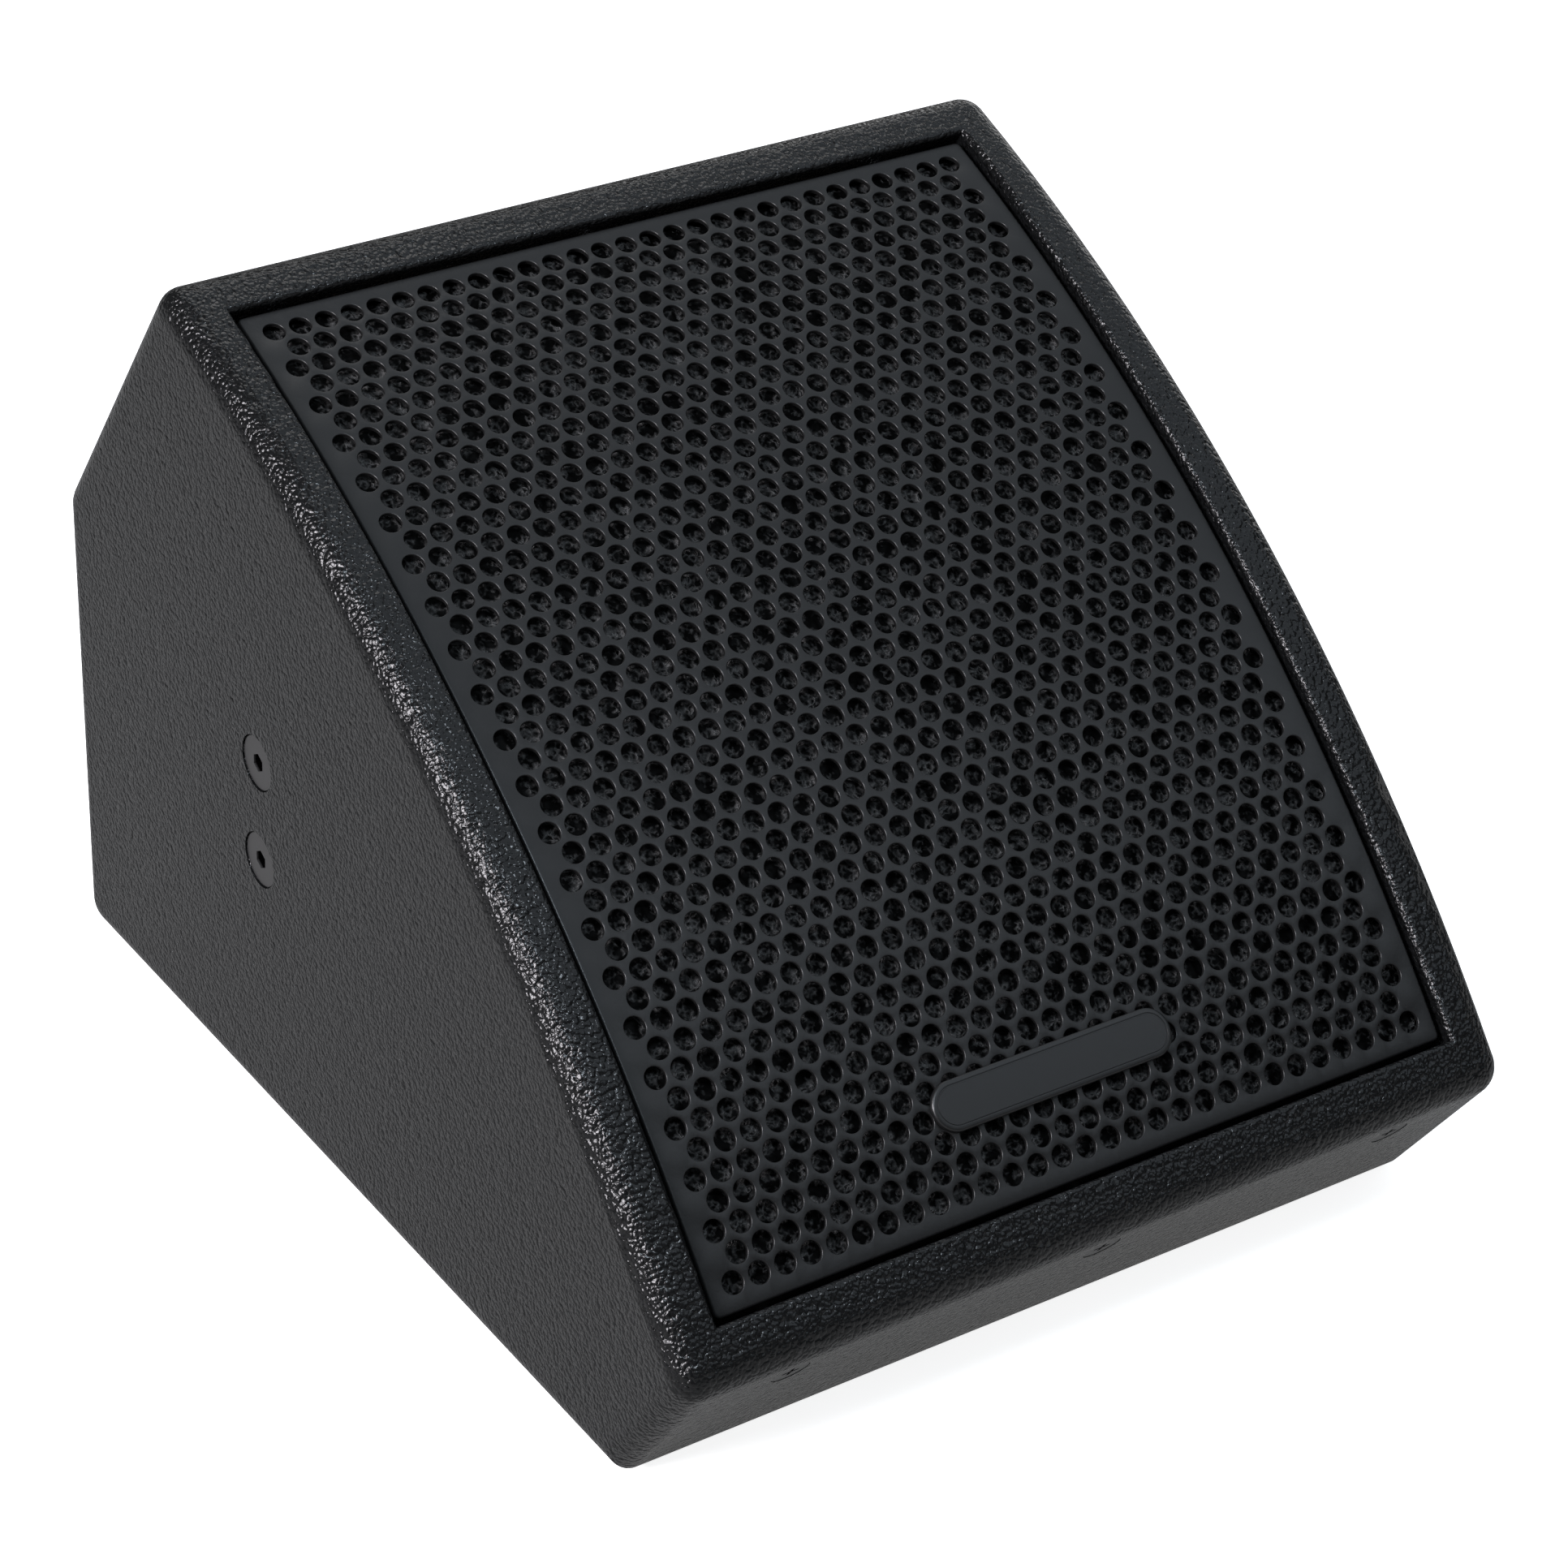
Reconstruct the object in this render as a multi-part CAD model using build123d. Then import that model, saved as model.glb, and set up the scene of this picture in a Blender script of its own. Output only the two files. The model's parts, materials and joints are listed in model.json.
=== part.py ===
from build123d import *
from math import asin, cos, pi, radians, sin, sqrt
import os

# Compact stage monitor wedge with a coaxial loudspeaker, on its rubber feet.
# X is across the width, the grille looks towards -Y and up, +Z is up.
# The origin is on the floor under the middle of the object.

# ---- driving dimensions, mm ----
PANEL = 15.0                 # birch plywood
INSIDE_WIDTH = 243.0         # between the two side panels
SLOPE_ANGLE = 35.0           # grille chord against the floor
SLOPE_HALF = 168.0           # from the slope's middle to the outside of the top and lip panels
CROWN_ABOVE_BOTTOM = 162.8   # grille crown above the cabinet's underside
CROWN_BEFORE_REAR = 215.2    # grille crown in front of the rear face, level
CROWN_Y = -45.9              # puts the origin under the middle of the box
FOOT_HEIGHT = 3.2
EDGE_ROUND = 7.5             # along both side outlines
CORNER_ROUND = 9.0           # across the width
RECESS_ROUND = 1.5           # rim of the recess round the grille

GRILLE_RADIUS = 600.0        # outside of the perforated sheet
FRAME_PROUD = 3.0            # front edges of the panels stand out past the grille
GRILLE_SHEET = 1.5
GRILLE_HALF_WIDTH = 120.0
GRILLE_HALF_ARC = 153.0
GRILLE_FLANGE = 41.0         # end flanges reach this deep below the crown
GRILLE_SIDE_FLANGE = 10.0
HOLE_PITCH = 8.0
HOLE_DIAMETER = 6.2
HOLE_ROWS = 43
HOLES_IN_LONG_ROW = 29
FOAM_THICKNESS = 8.0

BADGE_LENGTH = 78.0
BADGE_WIDTH = 14.0
BADGE_THICKNESS = 1.6
BADGE_X = -2.0
BADGE_ARC = 123.3
BADGE_PIN_X = (-28.0, 20.0)
BADGE_PIN_ROW = 18

BAFFLE_DEPTH = 44.0          # front of the baffle below the crown
DRIVER_UP = 26.0             # driver axis above the slope's middle
DRIVER_RADIUS = 105.0
DRIVER_BOLT_CIRCLE = 99.0
DRIVER_BOLTS = 8
BOLT_START = 22.5
TEE_NUT_BARREL = 3.2
BAFFLE_HOLE = 93.5
GASKET = 1.5
FLANGE = 4.0
FLANGE_HOLE = 88.5
CONE_RADIUS = 77.0
COIL_RADIUS = 22.6
NECK = -30.0                 # cone meets the voice coil, from the baffle's front
SPIDER_RADIUS = 63.0
SHELF = -44.0                # the spider's seat in the basket
PLATE_TOP = -54.0
TOP_PLATE = 6.0
MAGNET = 16.0
YOKE = 7.0
WINDING = 12.0
THROAT = 12.7
SNOUT = 17.0
TERMINAL_REACH = 71.0
HF_BODY = 38.0
HF_COIL = 17.2
HF_BOLT_CIRCLE = 34.0
HF_COVER = 16.0
DOME_RISE = 5.0
PORT_DOWN = 113.0
PORT_X = 70.0
PORT_BORE = 16.0
PORT_WALL = 2.0
PORT_LENGTH = 34.0
CLEAT = 16.0

GRILLE_SCREW_X = (-100.0, 0.0, 100.0)
GRILLE_SCREW_DEPTH = 34.0
GRILLE_SCREW_HEAD = 5.6
GRILLE_SCREW_SHANK = 2.5

RIGGING_BACK = 98.4          # behind the crown
RIGGING_HEIGHTS = (85.5, 117.4)
RIGGING_HEAD = 8.0           # M8 countersunk
RIGGING_SHANK = 4.0
RIGGING_BOSS = 6.5

FOOT_RADIUS = 13.0
FOOT_X = 104.0
FOOT_Y = (-110.0, 145.0)

PLATE_WIDTH = 124.0
PLATE_HEIGHT = 70.0
PLATE_MIDDLE = 78.8          # above the cabinet's underside
PLATE_SHEET = 2.0
PLATE_RECESS = 6.5
PLATE_LEDGE = 11.0
PLATE_SCREWS = ((-56.0, -29.5), (0.0, -29.5), (56.0, -29.5), (-56.0, 29.5), (0.0, 29.5), (56.0, 29.5))
SOCKET_X = (-26.0, 26.0)
SOCKET_WIDTH = 26.0
SOCKET_HEIGHT = 31.0
SOCKET_LIP = 2.2
SOCKET_BARREL = 12.6
SOCKET_BORE = 11.4
SOCKET_CORE = 5.7
SOCKET_DEPTH = 26.0

BOARD_BACK = 154.0           # middle of the crossover board behind the crown
BOARD_UP = 66.8              # and above the cabinet's underside
BOARD_WIDTH = 76.0
BOARD_HEIGHT = 92.0
BOARD_SHEET = 1.6
BOARD_STANDOFF = 8.0
BOARD_SCREWS = ((-33.0, -41.0), (33.0, -41.0), (-33.0, 41.0), (33.0, 41.0))
COIL_X = (-19.0, 17.0)
COIL_Y = -24.0
CHOKE_RADIUS = 16.0
CHOKE_HEIGHT = 17.0
CAPACITOR_RADIUS = 8.0
CAPACITOR_LENGTH = 34.0
CAPACITOR_X = -14.0
CAPACITOR_Y = (4.0, 22.0)
RESISTOR_X = (16.0, 28.0)
RESISTOR_WIDTH = 9.0
RESISTOR_LENGTH = 34.0
CABLE_RADIUS = 2.0

# ---- frames ----
C = cos(radians(SLOPE_ANGLE))
S = sin(radians(SLOPE_ANGLE))
OUTSIDE_WIDTH = INSIDE_WIDTH + 2 * PANEL
HALF_IN = INSIDE_WIDTH / 2
HALF_OUT = OUTSIDE_WIDTH / 2
FRAME_RADIUS = GRILLE_RADIUS + FRAME_PROUD
CROWN_Z = CROWN_ABOVE_BOTTOM + FOOT_HEIGHT
REAR_Y = CROWN_Y + CROWN_BEFORE_REAR
BOTTOM_Z = FOOT_HEIGHT
ROW_STEP = HOLE_PITCH * sqrt(3) / 2
HUGE = 900.0
FLOAT = 0.03                 # clearance between pieces that only touch

# Slope frame: origin at the grille's crown, x across, y up the slope, z out of the grille.
SLOPE = Plane(origin=(0, CROWN_Y, CROWN_Z), x_dir=(1, 0, 0), z_dir=(0, -S, C)).location
# Driver frame: origin in the middle of the driver's hole on the baffle's front.
DRIVER = SLOPE * Pos(0, DRIVER_UP, -BAFFLE_DEPTH)
# Rear frame: origin at floor level on the rear face, x to the left seen from behind, z out of the rear.
REAR = Plane(origin=(0, REAR_Y, BOTTOM_Z), x_dir=(-1, 0, 0), z_dir=(0, 1, 0)).location
# Board frame: on the inside of the right side panel, x towards the front, y up, z into the cabinet.
BOARD_Y = CROWN_Y + BOARD_BACK
BOARD = Plane(origin=(HALF_IN, BOARD_Y, BOTTOM_Z + BOARD_UP), x_dir=(0, -1, 0), z_dir=(-1, 0, 0)).location
# Curvature axis of grille and frame, along x.
AXIS_Z = -GRILLE_RADIUS


# ---- helpers ----
def block(x0, x1, y0, y1, z0, z1):
    """Box between two corners."""
    box = Box(x1 - x0, y1 - y0, z1 - z0)
    return Pos((x0 + x1) / 2, (y0 + y1) / 2, (z0 + z1) / 2) * box


def rod(radius, z0, z1, x=0.0, y=0.0):
    """Cylinder along z between two heights."""
    return Pos(x, y, (z0 + z1) / 2) * Cylinder(radius, z1 - z0)


def tube(inner, outer, z0, z1, x=0.0, y=0.0):
    """Ring along z between two heights."""
    return rod(outer, z0, z1, x, y) - rod(inner, z0 - 1, z1 + 1, x, y)


def turned(points):
    """Solid of revolution about z from (radius, z) points, closed with straight lines."""
    corners = [Vector(r, 0, z) for r, z in points]
    face = Face(Wire.make_polygon(corners, close=True))
    return revolve(face, Axis.Z, 360)


def ring_copies(part, count, radius, start=0.0):
    """Copies of a part, spaced round z."""
    step = 360 / count
    return [Rot(0, 0, start + i * step) * Pos(radius, 0, 0) * part for i in range(count)]


def drum(radius, half_width):
    """Full cylinder about the curvature axis, in the slope frame."""
    return Pos(0, 0, AXIS_Z) * Rot(0, 90, 0) * Cylinder(radius, 2 * half_width)


def drum_shell(inner, outer, half_width):
    """Curved sheet about the curvature axis, all the way round."""
    return drum(outer, half_width) - drum(inner, half_width + 1)


def wedge_angle(half_arc, half_width):
    """Part of the drum within an arc either side of the crown."""
    half_angle = half_arc / GRILLE_RADIUS
    reach = 1.2 * GRILLE_RADIUS
    side = reach * sin(half_angle)
    top = AXIS_Z + reach * cos(half_angle)
    corners = [(0, AXIS_Z), (side, top), (-side, top)]
    outline = [Vector(-half_width, y, z) for y, z in corners]
    face = Face(Wire.make_polygon(outline, close=True))
    return extrude(face, amount=2 * half_width, dir=(1, 0, 0))


def on_arc(arc, x=0.0, out=0.0):
    """Place on the grille's curve, arc mm down from the crown, z along the local outward normal."""
    angle = arc / GRILLE_RADIUS
    y = -(GRILLE_RADIUS + out) * sin(angle)
    z = AXIS_Z + (GRILLE_RADIUS + out) * cos(angle)
    return Pos(x, y, z) * Rot(angle * 180 / pi, 0, 0)


def screw(head_radius, shank_radius, length, drive_radius, drive_depth, head_depth=None):
    """Countersunk screw, top of the head at z = 0, pointing down."""
    depth = head_depth or head_radius - shank_radius
    body = turned([(0, 0), (head_radius, 0), (head_radius, -0.3), (shank_radius, -depth),
                   (shank_radius, -length), (0, -length)])
    return body, rod(drive_radius, -drive_depth, 1)


def hex_socket_screw(head_radius, shank_radius, length, across_flats, depth):
    """Countersunk screw with a hexagon socket."""
    body, _ = screw(head_radius, shank_radius, length, 1, 1)
    socket = extrude(RegularPolygon(across_flats / sqrt(3), 6), amount=-depth)
    return body - socket


def cross_screw(head_radius, shank_radius, length):
    """Countersunk screw with a cross recess."""
    body, _ = screw(head_radius, shank_radius, length, 1, 1)
    slot = head_radius * 0.95
    width = head_radius * 0.2
    cross = block(-slot / 2, slot / 2, -width / 2, width / 2, -1.6, 1)
    cross += block(-width / 2, width / 2, -slot / 2, slot / 2, -1.6, 1)
    return body - cross


def pan_screw(head_radius, head_height, shank_radius, length):
    """Low round-headed screw with a hexagon socket, underside of the head at z = 0."""
    head = turned([(0, 0), (head_radius, 0), (head_radius, head_height * 0.55),
                   (head_radius * 0.7, head_height), (0, head_height)])
    socket = Pos(0, 0, head_height * 0.35) * extrude(RegularPolygon(head_radius * 0.4, 6), amount=9)
    return head - socket + rod(shank_radius, -length, 0)


# ---- outer shape of the closed cabinet ----
def section_point(down, deep):
    """Y, Z of a point given down the slope and below the crown."""
    return (CROWN_Y - C * down + S * deep, CROWN_Z - S * down - C * deep)


def cabinet_outline():
    """Rounded solid that all six outer panels are cut from."""
    edge_depth = GRILLE_RADIUS - sqrt(FRAME_RADIUS ** 2 - SLOPE_HALF ** 2)
    top_front = section_point(-SLOPE_HALF, edge_depth)
    crown = section_point(0, -FRAME_PROUD)
    lip_front = section_point(SLOPE_HALF, edge_depth)
    lip_foot_depth = (CROWN_ABOVE_BOTTOM - S * SLOPE_HALF) / C
    lip_foot = section_point(SLOPE_HALF, lip_foot_depth)
    rear_foot = (REAR_Y, BOTTOM_Z)
    rear_top_depth = (CROWN_BEFORE_REAR - C * SLOPE_HALF) / S
    rear_top = section_point(-SLOPE_HALF, rear_top_depth)
    p = [Vector(-HALF_OUT, y, z) for y, z in (top_front, crown, lip_front, lip_foot, rear_foot, rear_top)]
    edges = [
        ThreePointArc(p[0], p[1], p[2]).edge(),
        Line(p[2], p[3]).edge(),
        Line(p[3], p[4]).edge(),
        Line(p[4], p[5]).edge(),
        Line(p[5], p[0]).edge(),
    ]
    solid = extrude(Face(Wire(edges)), amount=OUTSIDE_WIDTH, dir=(1, 0, 0))
    across = [e for e in solid.edges().filter_by(Axis.X)]
    lip_foot_edge = min(across, key=lambda e: (e.center() - Vector(0, *lip_foot)).length)
    solid = fillet([e for e in across if e is not lip_foot_edge], CORNER_ROUND)
    sides = [e for e in solid.edges() if abs(abs(e.center().X) - HALF_OUT) < 0.01]
    return fillet(sides, EDGE_ROUND)


# ---- cabinet ----
def recessed(outline, half):
    """Outer solid with the recess for the grille cut in and its rim rounded."""
    solid = outline - SLOPE * block(-HALF_IN, HALF_IN, -half, half, -BAFFLE_DEPTH, HUGE)
    rim = []
    for edge in solid.edges():
        spot = (SLOPE.inverse() * Pos(*edge.center())).position
        beside = abs(abs(spot.X) - HALF_IN) < 0.01 and abs(spot.Y) < 2
        across = abs(spot.X) < 0.01 and abs(abs(spot.Y) - half) < 0.01
        if (beside or across) and spot.Z > -BAFFLE_DEPTH / 2:
            rim.append(edge)
    return fillet(rim, RECESS_ROUND)


def cabinet():
    """Six outer panels, the baffle with its cleats, and the two short ports."""
    slope_in = SLOPE_HALF - PANEL
    outline = recessed(cabinet_outline(), slope_in)
    middle = block(-HALF_IN, HALF_IN, -HUGE, HUGE, -HUGE, HUGE)
    left = outline & block(-HUGE, -HALF_IN, -HUGE, HUGE, -HUGE, HUGE)
    right = outline & block(HALF_IN, HUGE, -HUGE, HUGE, -HUGE, HUGE)
    core = outline & middle

    top_zone = SLOPE * block(-HUGE, HUGE, slope_in, HUGE, -HUGE, HUGE)
    lip_zone = SLOPE * block(-HUGE, HUGE, -HUGE, -slope_in, -HUGE, HUGE)
    rear_zone = block(-HUGE, HUGE, REAR_Y - PANEL, HUGE, -HUGE, HUGE)
    floor_zone = block(-HUGE, HUGE, -HUGE, HUGE, -HUGE, BOTTOM_Z + PANEL)
    top = core & top_zone
    lip = core & lip_zone
    rear = (core & rear_zone) - top_zone
    bottom = (core & floor_zone) - rear_zone - lip_zone

    for height in RIGGING_HEIGHTS:
        for turn in (-1, 1):
            place = Pos(turn * HALF_OUT, CROWN_Y + RIGGING_BACK, BOTTOM_Z + height) * Rot(0, turn * 90, 0)
            left -= place * rigging_bore()
            right -= place * rigging_bore()
    for x in GRILLE_SCREW_X:
        lip -= lip_screw_place(x) * grille_screw_bore()
        top -= top_screw_place(x) * grille_screw_bore()
    for x in (-FOOT_X, FOOT_X):
        for y in FOOT_Y:
            bottom -= Pos(x, y, BOTTOM_Z) * rod(1.5, -1, 11)
    rear -= rear_opening()
    right -= [BOARD * rod(1.5, -11, 1, x, y) for x, y in BOARD_SCREWS]

    baffle = block(-HALF_IN, HALF_IN, -slope_in, slope_in, -BAFFLE_DEPTH - PANEL, -BAFFLE_DEPTH)
    baffle -= Pos(0, DRIVER_UP, 0) * rod(BAFFLE_HOLE, -HUGE, HUGE)
    nut_bore = rod(TEE_NUT_BARREL + FLOAT, -HUGE, HUGE)
    nut_bores = ring_copies(nut_bore, DRIVER_BOLTS, DRIVER_BOLT_CIRCLE, BOLT_START)
    baffle -= [Pos(0, DRIVER_UP, 0) * bore for bore in nut_bores]
    baffle -= [rod(PORT_BORE + PORT_WALL + FLOAT, -HUGE, HUGE, x, -PORT_DOWN) for x in (-PORT_X, PORT_X)]

    cleat_top = slope_in - 4
    cleat_foot = -slope_in + 14
    cleats = []
    for turn in (-1, 1):
        x0, x1 = sorted((turn * HALF_IN, turn * (HALF_IN - CLEAT)))
        z1 = -BAFFLE_DEPTH - PANEL
        cleats.append(SLOPE * block(x0, x1, cleat_foot, cleat_top, z1 - CLEAT, z1))

    bore = PORT_BORE
    wall = PORT_BORE + PORT_WALL
    profile = [(bore + 3, 2), (bore, -2), (bore, -PORT_LENGTH), (wall, -PORT_LENGTH), (wall, 0),
               (wall + 4, 0), (wall + 4, 1.2), (wall + 3, 2)]
    port = Pos(0, 0, -BAFFLE_DEPTH) * turned(profile)
    ports = [SLOPE * Pos(x, -PORT_DOWN, 0) * port for x in (-PORT_X, PORT_X)]
    return {
        "side_panel_left": left,
        "side_panel_right": right,
        "top_panel": top,
        "lip_panel": lip,
        "rear_panel": rear,
        "bottom_panel": bottom,
        "baffle": SLOPE * baffle,
        "baffle_cleats": Compound(cleats),
        "port_tubes": Compound(ports),
    }


def rigging_bore():
    """Countersunk hole for a rigging screw, outside face at z = 0."""
    cone = [(0, 1), (RIGGING_HEAD + 0.4, 1), (RIGGING_HEAD + 0.4, -0.5), (RIGGING_BOSS, -4.6),
            (RIGGING_BOSS, -PANEL - 1), (0, -PANEL - 1)]
    return turned(cone)


def grille_screw_bore():
    """Countersunk hole for a grille screw, outside face at z = 0."""
    cone = [(0, 1), (GRILLE_SCREW_HEAD, 1), (GRILLE_SCREW_HEAD, -0.3), (GRILLE_SCREW_SHANK + 0.3, -3.4),
            (GRILLE_SCREW_SHANK + 0.3, -PANEL - 1), (0, -PANEL - 1)]
    return turned(cone)


def lip_screw_place(x):
    return SLOPE * Pos(x, -SLOPE_HALF, -GRILLE_SCREW_DEPTH) * Rot(90, 0, 0)


def top_screw_place(x):
    return SLOPE * Pos(x, SLOPE_HALF, -GRILLE_SCREW_DEPTH) * Rot(-90, 0, 0)


def rear_opening():
    """Recess for the input plate and the cut-out behind it."""
    half_w = PLATE_WIDTH / 2
    half_h = PLATE_HEIGHT / 2
    rim = block(-half_w - 0.5, half_w + 0.5, -half_h - 0.5, half_h + 0.5, -PLATE_RECESS, 1)
    rim = fillet(rim.edges().filter_by(Axis.Z), 5.5)
    hole_w = half_w - PLATE_LEDGE
    hole_h = half_h - PLATE_LEDGE
    hole = block(-hole_w, hole_w, -hole_h, hole_h, -PANEL - 1, 0)
    hole = fillet(hole.edges().filter_by(Axis.Z), 4)
    pilots = [rod(1.6, -PANEL + 1, 0, x, y) for x, y in PLATE_SCREWS]
    return REAR * Pos(0, PLATE_MIDDLE, 0) * (rim + hole + pilots)


# ---- grille, foam and badge ----
def grille_sheet():
    """Folded steel tray with a curved front, one flat facet for each row of holes."""
    facet = ROW_STEP / GRILLE_RADIUS
    edges = [(i - HOLE_ROWS / 2) * facet for i in range(HOLE_ROWS + 1)]
    ends = GRILLE_HALF_ARC / GRILLE_RADIUS
    angles = [-ends, *edges, ends]
    corner = GRILLE_RADIUS / cos(facet / 2)

    def arc_points(radius, low, high):
        inside = [a for a in angles if low < a < high]
        return [(-radius * sin(a), AXIS_Z + radius * cos(a)) for a in (low, *inside, high)]

    def tray(radius, end_angle, depth, half_width):
        front = arc_points(radius, -end_angle, end_angle)
        y_end = front[0][0]
        points = [*front, (front[-1][0], -depth), (y_end, -depth)]
        wire = Wire.make_polygon([Vector(-half_width, y, z) for y, z in points], close=True)
        return extrude(Face(wire), amount=2 * half_width, dir=(1, 0, 0))

    outer = tray(corner, ends, GRILLE_FLANGE, GRILLE_HALF_WIDTH)
    inner_end = ends - GRILLE_SHEET / GRILLE_RADIUS
    inner = tray(corner - GRILLE_SHEET, inner_end, HUGE, GRILLE_HALF_WIDTH - GRILLE_SHEET)
    sheet = outer - inner
    # The side flanges are shallower than the end flanges.
    relief_half = GRILLE_HALF_ARC - 3
    relief = wedge_angle(relief_half, HALF_IN) & drum(GRILLE_RADIUS - GRILLE_SIDE_FLANGE, HALF_IN)
    y_relief = GRILLE_RADIUS * sin(relief_half / GRILLE_RADIUS)
    relief += block(-HALF_IN, HALF_IN, -y_relief, y_relief, -HUGE, -GRILLE_FLANGE + 14)
    sheet -= relief
    side_keep = drum(GRILLE_RADIUS - GRILLE_SIDE_FLANGE, HALF_IN)
    ears = [block(x, x + 4, -HUGE, HUGE, -HUGE, 0) for x in (-GRILLE_HALF_WIDTH - 1, GRILLE_HALF_WIDTH - 3)]
    sheet -= [ear & side_keep for ear in ears]
    for x in GRILLE_SCREW_X:
        bore = Pos(x, 0, -GRILLE_SCREW_DEPTH) * Rot(90, 0, 0) * rod(GRILLE_SCREW_SHANK + 0.2, -HUGE, HUGE)
        sheet -= bore
    drills = []
    for row in range(HOLE_ROWS):
        v = row - HOLE_ROWS // 2
        long_row = v % 2 == 1
        count = HOLES_IN_LONG_ROW if long_row else HOLES_IN_LONG_ROW - 1
        place = on_arc(v * ROW_STEP)
        for i in range(count):
            x = (i - (count - 1) / 2) * HOLE_PITCH
            drills.append(place * rod(HOLE_DIAMETER / 2, -3, 2, x))
    return SLOPE * (sheet - drills)


def badge_outline():
    """Stadium as a tall prism over the badge's place, in the slope frame."""
    place = on_arc(BADGE_ARC, BADGE_X)
    return place * extrude(SlotOverall(BADGE_LENGTH, BADGE_WIDTH), amount=10, both=True)


def badge_pin_places():
    return [on_arc(BADGE_PIN_ROW * ROW_STEP, x) for x in BADGE_PIN_X]


def grille_parts():
    """Perforated grille, its foam, the plain badge and what holds them."""
    inner = GRILLE_RADIUS - GRILLE_SHEET - 0.6
    foam_ring = drum_shell(inner - FOAM_THICKNESS, inner, GRILLE_HALF_WIDTH - 3)
    foam = foam_ring & wedge_angle(GRILLE_HALF_ARC - 4, HALF_OUT)
    foam -= [place * rod(5.5, -20, 5) for place in badge_pin_places()]

    raised = 0.05
    low = GRILLE_RADIUS / cos(ROW_STEP / GRILLE_RADIUS / 2) + raised
    badge = badge_outline() & drum_shell(low, low + BADGE_THICKNESS, HALF_IN)
    pins = [place * rod(1.2, -6, raised + 0.6) for place in badge_pin_places()]
    for place in badge_pin_places():
        badge -= place * rod(1.2, -5, raised + 0.6)
    clips = []
    for place in badge_pin_places():
        washer = tube(1.2, 4.6, -2.6, -2.0)
        clips.append(place * washer)

    screws = []
    nuts = []
    length = PANEL + 7
    inner_end = (GRILLE_HALF_ARC - GRILLE_SHEET) / GRILLE_RADIUS
    fold_in = (GRILLE_RADIUS - GRILLE_SHEET) * sin(inner_end) - 0.1
    nut_top = SLOPE_HALF - fold_in
    nut = rod(4.5, -nut_top - 4, -nut_top) - rod(GRILLE_SCREW_SHANK + FLOAT, -HUGE, HUGE)
    for x in GRILLE_SCREW_X:
        for place in (lip_screw_place(x), top_screw_place(x)):
            sunk = Pos(0, 0, -0.15)
            screws.append(place * sunk * cross_screw(GRILLE_SCREW_HEAD - 0.15, GRILLE_SCREW_SHANK, length))
            nuts.append(place * nut)
    return {
        "grille": grille_sheet(),
        "grille_foam": SLOPE * foam,
        "badge_plate": SLOPE * badge,
        "badge_pins": Compound([SLOPE * p for p in pins]),
        "badge_clips": Compound([SLOPE * c for c in clips]),
        "grille_screws": Compound(screws),
        "grille_nuts": Compound(nuts),
    }


# ---- fixings of the cabinet ----
def hardware():
    """Rigging plates and screws in the sides, rubber feet under the floor panel."""
    screws = []
    for height in RIGGING_HEIGHTS:
        for turn in (-1, 1):
            place = Pos(turn * HALF_OUT, CROWN_Y + RIGGING_BACK, BOTTOM_Z + height) * Rot(0, turn * 90, 0)
            bolt = hex_socket_screw(RIGGING_HEAD, RIGGING_SHANK, 20, 5.0, 3.6)
            screws.append(place * Pos(0, 0, -0.5) * bolt)
    middle = sum(RIGGING_HEIGHTS) / 2
    plates = {}
    for side, turn in (("left", -1), ("right", 1)):
        place = Pos(turn * HALF_IN, CROWN_Y + RIGGING_BACK, BOTTOM_Z + middle) * Rot(0, turn * 90, 0)
        plate = block(-27, 27, -14, 14, -4, 0)
        plate = fillet(plate.edges().filter_by(Axis.Z), 5)
        for height in RIGGING_HEIGHTS:
            along = middle - height if turn > 0 else height - middle
            plate += rod(RIGGING_BOSS - FLOAT, 0, PANEL - 5.2, along)
            plate -= rod(RIGGING_SHANK + FLOAT, -HUGE, HUGE, along)
        plates[f"rigging_plate_{side}"] = place * plate

    feet = []
    foot_screws = []
    foot = turned([(0, 0), (FOOT_RADIUS - 1.5, 0), (FOOT_RADIUS, -1), (FOOT_RADIUS, -FOOT_HEIGHT + 1),
                   (FOOT_RADIUS - 1, -FOOT_HEIGHT), (0, -FOOT_HEIGHT)])
    foot -= rod(4.2, -HUGE, -1.6) + rod(2.2, -HUGE, 1)
    foot_screw = turned([(0, -2.9), (2.5, -2.9), (3.9, -1.6), (1.8, -1.6), (1.5, 0), (1.5, 10.5), (0, 11)])
    foot_screw -= block(-2.2, 2.2, -0.4, 0.4, -9, -2.2) + block(-0.4, 0.4, -2.2, 2.2, -9, -2.2)
    for x in (-FOOT_X, FOOT_X):
        for y in FOOT_Y:
            feet.append(Pos(x, y, BOTTOM_Z) * foot)
            foot_screws.append(Pos(x, y, BOTTOM_Z) * foot_screw)
    return {
        "rigging_screws": Compound(screws),
        **plates,
        "rubber_feet": Compound(feet),
        "foot_screws": Compound(foot_screws),
    }


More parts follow.
